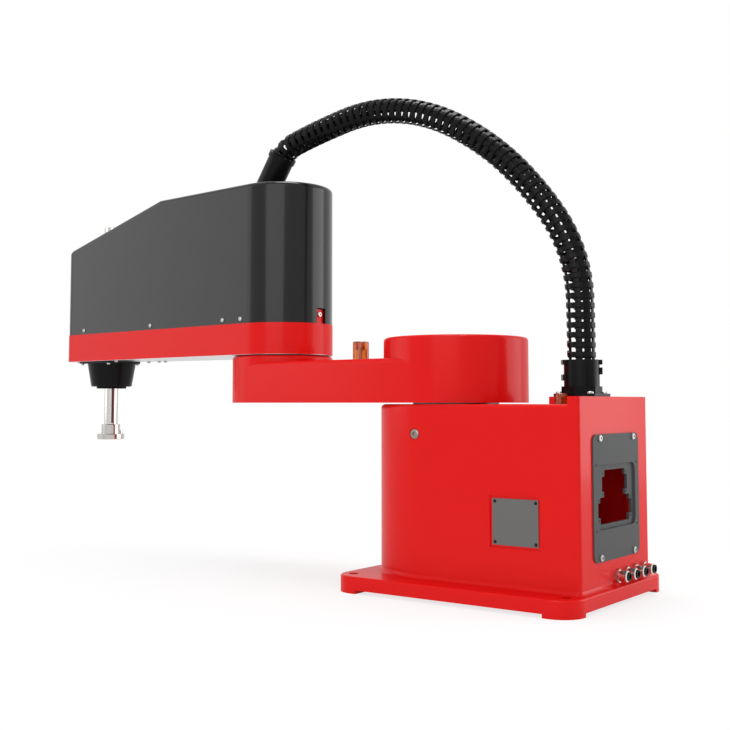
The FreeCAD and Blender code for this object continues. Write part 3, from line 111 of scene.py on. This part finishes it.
# The route of part.py, in metres forward and up; the two lengths of hose meet where the run over the
# crown is halved
hose_route = [(-0.103, 0.244), (-0.103, 0.294), (-0.1015, 0.345), (-0.087, 0.390), (-0.062, 0.430),
              (-0.0176, 0.4817), (0.0315, 0.521), (0.083, 0.5505)]
crown = (0.110, 0.55875)
hose_end = [(0.137, 0.567), (0.193, 0.5705), (0.253, 0.559), (0.292, 0.5495), (0.3176, 0.5417),
            (0.3307, 0.5216)]
hose_radius = 0.0155
hose_wall = 0.0024
ring_pitch = 0.0107


def hose_line(name, route):
    """Points along the smooth line of a route, as Blender evaluates its NURBS spline."""
    curve = bpy.data.curves.new(name, "CURVE")
    curve.dimensions = "3D"
    curve.resolution_u = 24
    spline = curve.splines.new("NURBS")
    spline.points.add(len(route) - 1)
    for point, (x, z) in zip(spline.points, route):
        point.co = (x, 0, z, 1)
    spline.order_u = 3
    spline.use_endpoint_u = True
    guide = bpy.data.objects.new(name, curve)
    bpy.context.collection.objects.link(guide)
    bpy.context.view_layer.update()
    line = bpy.data.meshes.new_from_object(guide.evaluated_get(bpy.context.evaluated_depsgraph_get()))
    points = [vertex.co.copy() for vertex in line.vertices]
    bpy.data.objects.remove(guide)
    return points


def arc_block(work, inner, outer, low, high, middle, width, lean=0.0, edge=0.0):
    """A piece of tube wall about Z: width degrees wide round its middle, rising by lean on its way."""
    degrees_a_step = 12
    steps = max(2, round(width / degrees_a_step))
    start = Matrix.Rotation(math.radians(middle - width / 2), 3, "Z")
    if edge:
        rim = [(outer - edge, low), (outer, low + edge), (outer, high - edge), (outer - edge, high)]
    else:
        rim = [(outer, low), (outer, high)]
    corners = [(inner, low)] + rim + [(inner, high)]
    verts = [work.verts.new(start @ Vector((radius, 0, height))) for radius, height in corners]
    face = work.faces.new(verts)
    bmesh.ops.spin(work, geom=[face] + verts + list(face.edges), cent=(0, 0, 0), axis=(0, 0, 1),
                   dvec=(0, 0, lean / steps), angle=math.radians(width), steps=steps, use_merge=False)


def hose_link():
    """One ring of the hose about Z: its band, the bars that carry it and its free teeth."""
    outer, inner = hose_radius, hose_radius - hose_wall
    band_half, band_arc, band_edge = 0.0031, 278, 0.0007
    # The bars are a little longer than the pitch, so that they run into those of the next ring. Each
    # is given by its middle and its width, in degrees from the outside of the bend, and how far it
    # lies below the band
    bar_half = ring_pitch * 0.52
    spine = (0, 16, 0.0008)
    side_bars = ((42, 26, 0.0017), (76, 26, 0.0017), (128, 18, 0.0012))
    tooth_at, tooth_arc, tooth_half, tooth_lean = 154, 36, 0.0021, 0.003
    tooth_inner, tooth_outer = inner + 0.0006, outer - 0.0002

    def bar(middle, width, below):
        arc_block(work, inner, outer - below, -bar_half, bar_half, middle, width)

    work = bmesh.new()
    arc_block(work, inner, outer, -band_half, band_half, 0, band_arc, edge=band_edge)
    bar(*spine)
    for side in (-1, 1):
        for middle, width, below in side_bars:
            bar(side * middle, width, below)
        # The teeth of both sides rise from root to tip; one side's are drawn from the tip, higher up
        start = tooth_lean if side < 0 else 0
        arc_block(work, tooth_inner, tooth_outer, start - tooth_half, start + tooth_half,
                  side * tooth_at, tooth_arc, lean=side * tooth_lean)
    bmesh.ops.recalc_face_normals(work, faces=work.faces)
    link = bpy.data.meshes.new("hose_link")
    work.to_mesh(link)
    work.free()
    return link


def hose(name, points, first_twist, last_twist, material):
    """Rings set along a line at one pitch, turned a little further each time, in degrees."""
    runs = [(after - before).length for before, after in zip(points, points[1:])]
    length = sum(runs)
    count = round(length / ring_pitch)
    link = hose_link()
    side = Vector((0, 1, 0))
    work = bmesh.new()
    index, gone = 0, 0.0
    for ring in range(count):
        at = (ring + 0.5) * length / count
        while gone + runs[index] < at:
            gone += runs[index]
            index += 1
        along = (points[index + 1] - points[index]).normalized()
        outward = along.cross(side)
        twist = math.radians(first_twist + (last_twist - first_twist) * at / length)
        across = outward * math.cos(twist) + side * math.sin(twist)
        place = Matrix((across, along.cross(across), along)).transposed().to_4x4()
        place.translation = points[index].lerp(points[index + 1], (at - gone) / runs[index])
        made = len(work.verts)
        work.from_mesh(link)
        work.verts.ensure_lookup_table()
        bmesh.ops.transform(work, matrix=place, verts=work.verts[made:])
    mesh = bpy.data.meshes.new(name)
    work.to_mesh(mesh)
    work.free()
    mesh.materials.append(material)
    piece = bpy.data.objects.new(name, mesh)
    bpy.context.collection.objects.link(piece)
    return piece, length


# Fresh from the mould it is nearly black, smooth and waxy: each ring takes a thin soft light
black_polyamide = grained_finish("black_polyamide", "#0B0B0C", "#121213", roughness=0.28, grain_mm=0.5)
# The hose twists a little about its own line, in degrees at the gland, the crown and the cover
gland_twist, crown_twist, cover_twist = -4, 6, 0
lower_line = hose_line("lower_line", hose_route + [crown])
upper_line = hose_line("upper_line", [crown] + hose_end)
lower_hose, lower_length = hose("hose_to_crown", lower_line, gland_twist, crown_twist, black_polyamide)
upper_hose, upper_length = hose("hose_to_cover", upper_line, crown_twist, cover_twist, black_polyamide)
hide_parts("conduit_lower")
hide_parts("conduit_upper")
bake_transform(lower_hose)
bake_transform(upper_hose)


# Castings
# Base, first arm and second arm are cast aluminium, milled where they meet and powder coated in a
# bright signal red. The melted powder is smooth and half glossy with a faint orange peel, so edges
# and rounds take a soft pale light while the flats stay plain red.
signal_red, thin_red = "#D80F0E", "#DE1312"


def dress(names, material):
    """Give a material to CAD parts."""
    for name in names:
        parts[name].data.materials.clear()
        parts[name].data.materials.append(material)


def powder_coat(name):
    """Red powder coat: thicker and thinner by the hand's width, with the waves of an orange peel."""
    patch_mm, peel_mm = 111.1, 2.381
    peel_strength, peel_deep = 0.08, 0.0004
    glossy, dull = 0.34, 0.44
    material, tree, surface = new_material(name)
    place = add_node(tree, "ShaderNodeTexCoord").outputs["Object"]
    patch = add_node(tree, "ShaderNodeTexNoise", Vector=place, Scale=1000 / patch_mm, Detail=4)
    shade = add_node(tree, "ShaderNodeMix", {"data_type": "RGBA"}, Factor=patch.outputs[0],
                     i6=tone(signal_red), i7=tone(thin_red))
    peel = add_node(tree, "ShaderNodeTexNoise", Vector=place, Scale=1000 / peel_mm, Detail=2)
    relief = add_node(tree, "ShaderNodeBump", Strength=peel_strength, Distance=peel_deep,
                      Height=peel.outputs[0])
    gloss = add_node(tree, "ShaderNodeMapRange", Value=patch.outputs[0], i3=glossy, i4=dull)
    tree.links.new(shade.outputs[2], surface.inputs["Base Color"])
    tree.links.new(gloss.outputs[0], surface.inputs["Roughness"])
    tree.links.new(relief.outputs[0], surface.inputs["Normal"])
    surface.inputs["Specular IOR Level"].default_value = 0.05
    surface.inputs["Coat Weight"].default_value = 0.2
    surface.inputs["Coat Roughness"].default_value = 0.16
    return material


red_coat = powder_coat("red_powder_coat")
dress(["base_casting", "arm_1_casting"], red_coat)

# The second arm's underside is milled after coating, so there it is bare pale metal
milled_deep = 0.0002
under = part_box("arm_2_casting")[0][2]
milled_coat = powder_coat("red_powder_coat_milled_below")
milled_tree = milled_coat.node_tree
milled_surface = milled_tree.nodes["Principled BSDF"]
milled_colour = milled_surface.inputs["Base Color"]
milled_place = add_node(milled_tree, "ShaderNodeTexCoord").outputs["Object"]
milled_height = add_node(milled_tree, "ShaderNodeSeparateXYZ", Vector=milled_place).outputs["Z"]
milled_face = add_node(milled_tree, "ShaderNodeMath", {"operation": "LESS_THAN"}, i0=milled_height,
                       i1=under + milled_deep)
bare = add_node(milled_tree, "ShaderNodeMix", {"data_type": "RGBA"}, Factor=milled_face.outputs[0],
                i6=milled_colour.links[0].from_socket, i7=tone("#C9CCCD"))
milled_tree.links.new(bare.outputs[2], milled_colour)
milled_tree.links.new(milled_face.outputs[0], milled_surface.inputs["Metallic"])
dress(["arm_2_casting"], milled_coat)


# Upper cover
# A thin shell moulded from black ABS in a polished mould and screwed to the rim of the second arm.
# Its half gloss turns the flat side a dark even grey and lays upright bands on the round end.
black_abs = grained_finish("black_abs", "#0E0E0F", "#141415", roughness=0.24, grain_mm=0.6, sheen=0.14)
cover_surface = black_abs.node_tree.nodes["Principled BSDF"]
cover_surface.inputs["Coat Weight"].default_value = 0.3
cover_surface.inputs["Coat Roughness"].default_value = 0.1
dress(["upper_cover"], black_abs)


# Gland, nose and elbow tube
# Injection moulded black polyamide, as the conduit is. The gland's nut clamps the conduit on its
# flange, the elbow tube takes the other end, and the nose closes the arm round the shaft.
dress(["conduit_flange", "conduit_gland", "elbow_tube", "nose_cone", "nose_flange"], black_polyamide)


# Seal and belts
# The seal that wipes the shaft and the two toothed belts of the drives are moulded black rubber.
# Its surface is dull and takes no bright light, so it stays dark beside the steel.
black_rubber = grained_finish("black_rubber", "#131313", "#1A1A1A", roughness=0.7, grain_mm=0.4)
dress(["nose_seal", "j3_belt", "j4_belt"], black_rubber)


# Connector panel
# Sheet steel, pressed to its recess, screwed over the opening in the column's rear and powder
# coated in dark grey. The fine texture of the coat makes it flat and even to the eye.
grey_coat = grained_finish("grey_powder_coat", "#4A4B4C", "#525354", roughness=0.5, grain_mm=0.5)
dress(["connector_panel"], grey_coat)


# Nameplate
# A thin blank plate of aluminium, brushed lengthwise and anodised, held in its recess by four
# rivets, coloured near black as a painted shade of the holes they sit in. The brushing draws fine level
# lines, so the plate shines softly and evenly, a middle grey between the bright screws and the dark panel.
def bare_metal(name, colour, roughness, line_mm, drawn_out=(1, 1, 1)):
    """Metal with the fine lines of its last tool; drawn_out is how long they are along each axis."""
    line_strength, line_deep = 0.06, 0.0001
    smoother, rougher = 0.08, 0.1
    darker, lighter = 0.92, 1.06
    material, tree, surface = new_material(name)
    place = add_node(tree, "ShaderNodeTexCoord").outputs["Object"]
    drawn = add_node(tree, "ShaderNodeMapping", Vector=place, Scale=[1 / times for times in drawn_out])
    # Real tool marks are some hundredths of a millimetre apart; they are drawn ten times as coarse,
    # so that they show
    lines = add_node(tree, "ShaderNodeTexNoise", Vector=drawn.outputs[0], Scale=1000 / line_mm, Detail=3)
    gloss = add_node(tree, "ShaderNodeMapRange", Value=lines.outputs[0], i3=roughness - smoother,
                     i4=roughness + rougher)
    relief = add_node(tree, "ShaderNodeBump", Strength=line_strength, Distance=line_deep,
                      Height=lines.outputs[0])
    bright = add_node(tree, "ShaderNodeMapRange", Value=lines.outputs[0], i3=darker, i4=lighter)
    shade = add_node(tree, "ShaderNodeHueSaturation", Color=tone(colour), Value=bright.outputs[0])
    tree.links.new(shade.outputs[0], surface.inputs["Base Color"])
    tree.links.new(gloss.outputs[0], surface.inputs["Roughness"])
    tree.links.new(relief.outputs[0], surface.inputs["Normal"])
    surface.inputs["Metallic"].default_value = 1.0
    return material


lengthwise = (30, 1, 1)
brushed_aluminium = bare_metal("brushed_anodised_aluminium", "#6C6C6B", roughness=0.42, line_mm=0.6,
                               drawn_out=lengthwise)
dress(["nameplate"], brushed_aluminium)
# The rivets are painted near black: painted shade of their holes, not the colour of their metal
rivet_steel_painted_shade = bare_metal("rivet_steel_painted_shade", "#2B2524", roughness=0.35, line_mm=0.5)
dress(["nameplate_rivets"], rivet_steel_painted_shade)


# Screws
# Socket screws of cold formed steel, zinc plated, that hold the panel, the conduit's flange, the
# stops, the cover, the nose and the shaft's clamp. The plating is pale grey and rather bright.
zinc = bare_metal("zinc_plated_steel", "#B4B3B0", roughness=0.3, line_mm=0.5)
dress(["panel_screws", "flange_screws", "j1_stop_screws", "j2_stop_screw",
       "ground_screw", "cover_screws", "underside_screws", "clamp_screw"], zinc)


# Side plug
# Screwed stainless plug that closes a threaded hole in the column's side, turned and left bare, so
# it is warmer and duller than the plated screws.
plug_steel = bare_metal("turned_stainless_steel", "#8F877E", roughness=0.3, line_mm=0.5)
dress(["side_plug"], plug_steel)


# Air fittings
# Push-in fittings for the air lines, turned from brass, nickel plated and held in the rear wall by
# their nuts. The plating is almost a mirror, with a warm cast; the release rings are black plastic.
nickel = bare_metal("nickel_plated_brass", "#D5D3CE", roughness=0.16, line_mm=0.4)
dress(["fitting_bodies", "fitting_nuts"], nickel)
dress(["fitting_collets"], black_polyamide)


# Stops
# Round buffers cast from clear amber polyurethane, each held by a screw through its middle, that
# end the turns of the two arms. Light goes into them and comes back orange and a little cloudy.
def amber_polyurethane():
    """Clear orange rubber with the cloudy streaks of its casting."""
    cloud_mm = 4.545
    material, tree, surface = new_material("amber_polyurethane")
    place = add_node(tree, "ShaderNodeTexCoord").outputs["Object"]
    cloud = add_node(tree, "ShaderNodeTexNoise", Vector=place, Scale=1000 / cloud_mm, Detail=2)
    shade = add_node(tree, "ShaderNodeMix", {"data_type": "RGBA"}, Factor=cloud.outputs[0],
                     i6=tone("#C45A1A"), i7=tone("#E5842F"))
    tree.links.new(shade.outputs[2], surface.inputs["Base Color"])
    surface.inputs["Roughness"].default_value = 0.12
    surface.inputs["Transmission Weight"].default_value = 0.85
    surface.inputs["IOR"].default_value = 1.5
    return material


dress(["j1_stop_bumpers", "j2_stop_bumper"], amber_polyurethane())


# Shaft and tool flange
# The spline shaft, its nuts and bearings, the stop collar and the tool flange are hardened steel,
# ground and polished. They mirror the white room and their own dark sides, streaked along the shaft.
upright = (1, 1, 14)
ground_steel = bare_metal("ground_steel", "#BDB9B5", roughness=0.13, line_mm=0.4, drawn_out=upright)
dress(["stop_collar", "tool_flange", "spline_nut", "screw_nut", "spline_bearing", "j1_bearing"],
      ground_steel)

# The shaft's ball tracks lie below its ground face. There the steel is painted dark brown between these
# two depths: painted shade in the tracks, with a painted reflection of the red castings
unshaded_down_to, fully_shaded_from = 0.0001, 0.0007
tracked_steel = bare_metal("ground_steel_with_tracks", "#C9C6C3", roughness=0.13, line_mm=0.4,
                           drawn_out=upright)
dress(["shaft"], tracked_steel)
shaft_low, shaft_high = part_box("shaft")
shaft_middle = (shaft_low + shaft_high) / 2
shaft_radius = (shaft_high[0] - shaft_low[0]) / 2
track_tree = tracked_steel.node_tree
track_colour = track_tree.nodes["Principled BSDF"].inputs["Base Color"]
track_place = add_node(track_tree, "ShaderNodeTexCoord").outputs["Object"]
track_level = add_node(track_tree, "ShaderNodeMapping", Vector=track_place, Scale=(1, 1, 0),
                       Location=(-shaft_middle[0], -shaft_middle[1], 0))
track_reach = add_node(track_tree, "ShaderNodeVectorMath", {"operation": "LENGTH"},
                       Vector=track_level.outputs[0])
track_depth = add_node(track_tree, "ShaderNodeMapRange", Value=track_reach.outputs["Value"],
                       i1=shaft_radius - fully_shaded_from, i2=shaft_radius - unshaded_down_to, i3=1.0, i4=0.0)
# Painted shade and painted red-brown reflection, laid into the tracks by their depth
painted_track_shade = add_node(track_tree, "ShaderNodeMix", {"data_type": "RGBA"}, Factor=track_depth.outputs[0],
                   i6=track_colour.links[0].from_socket, i7=tone("#4A2E28"))
track_tree.links.new(painted_track_shade.outputs[2], track_colour)


# Drives inside
# Reducers, motor bracket and pulleys are milled from aluminium and left bare, and the motors are
# painted black. They show only through the openings, where the metal is pale and the paint dull.
milled_lines = (6, 1, 1)
milled_aluminium = bare_metal("milled_aluminium", "#B9BABA", roughness=0.38, line_mm=0.6,
                              drawn_out=milled_lines)
dress(["j1_reducer", "j2_reducer", "j1_output_flange", "j2_output_flange", "motor_bracket",
       "spline_pulley", "screw_pulley", "j3_motor_pulley", "j4_motor_pulley"], milled_aluminium)
motor_paint = grained_finish("motor_paint", "#202122", "#262728", roughness=0.45, grain_mm=0.6)
dress(["j1_motor", "j2_motor", "j3_motor", "j4_motor"], motor_paint)


# Floor, backdrop and light
# The floor is a sheet of plain white paper under a white sky, lit by four soft lamps. To the camera
# and in reflections and clear rubber, the paper turns to plain white away from the robot, and it
# keeps the robot's shadow near it.
floor_half = 6
shadow_near, white_from = 0.3, 0.75
white_share_near = 0.75
white_paper, paper_tree, paper_surface = new_material("white_paper")
paper_surface.inputs["Base Color"].default_value = tone("#F4F4F4")
paper_surface.inputs["Roughness"].default_value = 0.9
paper_place = add_node(paper_tree, "ShaderNodeTexCoord").outputs["Object"]
paper_reach = add_node(paper_tree, "ShaderNodeVectorMath", {"operation": "LENGTH"}, Vector=paper_place)
paper_fade = add_node(paper_tree, "ShaderNodeMapRange", Value=paper_reach.outputs["Value"],
                      i1=shadow_near, i2=white_from, i3=white_share_near, i4=1.0)


def seen_rays(tree):
    """1 for what the camera sees, straight or through clear rubber or in a reflection."""
    rays = add_node(tree, "ShaderNodeLightPath").outputs
    clear = add_node(tree, "ShaderNodeMath", {"operation": "MAXIMUM"}, i0=rays["Is Camera Ray"],
                     i1=rays["Is Transmission Ray"])
    return add_node(tree, "ShaderNodeMath", {"operation": "MAXIMUM"}, i0=clear.outputs[0],
                    i1=rays["Is Glossy Ray"]).outputs[0]


paper_lit = add_node(paper_tree, "ShaderNodeMath", {"operation": "MULTIPLY"}, i0=seen_rays(paper_tree),
                     i1=paper_fade.outputs[0])
paper_white = add_node(paper_tree, "ShaderNodeEmission", Color=tone("#FFFFFF"), Strength=1.0)
paper_mix = add_node(paper_tree, "ShaderNodeMixShader", i0=paper_lit.outputs[0],
                     i1=paper_surface.outputs[0], i2=paper_white.outputs[0])
paper_tree.links.new(paper_mix.outputs[0], paper_tree.nodes["Material Output"].inputs["Surface"])
floor_mesh = bpy.data.meshes.new("floor")
floor_work = bmesh.new()
bmesh.ops.create_grid(floor_work, x_segments=1, y_segments=1, size=floor_half)
floor_work.to_mesh(floor_mesh)
floor_work.free()
floor_mesh.materials.append(white_paper)
floor = bpy.data.objects.new("floor", floor_mesh)
bpy.context.collection.objects.link(floor)

sky_light = 0.45
world = bpy.data.worlds.new("studio")
bpy.context.scene.world = world
world.use_nodes = True
air = world.node_tree
sky = air.nodes["Background"]
sky.inputs["Color"].default_value = tone("#FFFFFF")
power = add_node(air, "ShaderNodeMapRange", Value=seen_rays(air), i3=sky_light, i4=1.0)
air.links.new(power.outputs[0], sky.inputs["Strength"])


def soft_lamp(name, place, aim, size, watts):
    """A square area lamp that looks at a point."""
    lamp = bpy.data.objects.new(name, bpy.data.lights.new(name, "AREA"))
    lamp.data.size = size
    lamp.data.energy = watts
    lamp.location = place
    lamp.rotation_euler = (Vector(aim) - Vector(place)).to_track_quat("-Z", "Y").to_euler()
    bpy.context.collection.objects.link(lamp)


soft_lamp("lamp_over", place=(0.2, -0.2, 1.9), aim=(0.1, 0, 0.2), size=0.8, watts=20)
soft_lamp("lamp_rear", place=(-1.3, -1.3, 0.5), aim=(-0.1, 0, 0.25), size=1.3, watts=15)
soft_lamp("lamp_front", place=(1.95, 1.1, 0.75), aim=(0.5, 0, 0.4), size=1.2, watts=6)
soft_lamp("lamp_side", place=(-0.5, 2.0, 1.2), aim=(0.1, 0, 0.3), size=1.8, watts=19)
bpy.context.scene.view_settings.view_transform = "Standard"

bpy.context.view_layer.update()
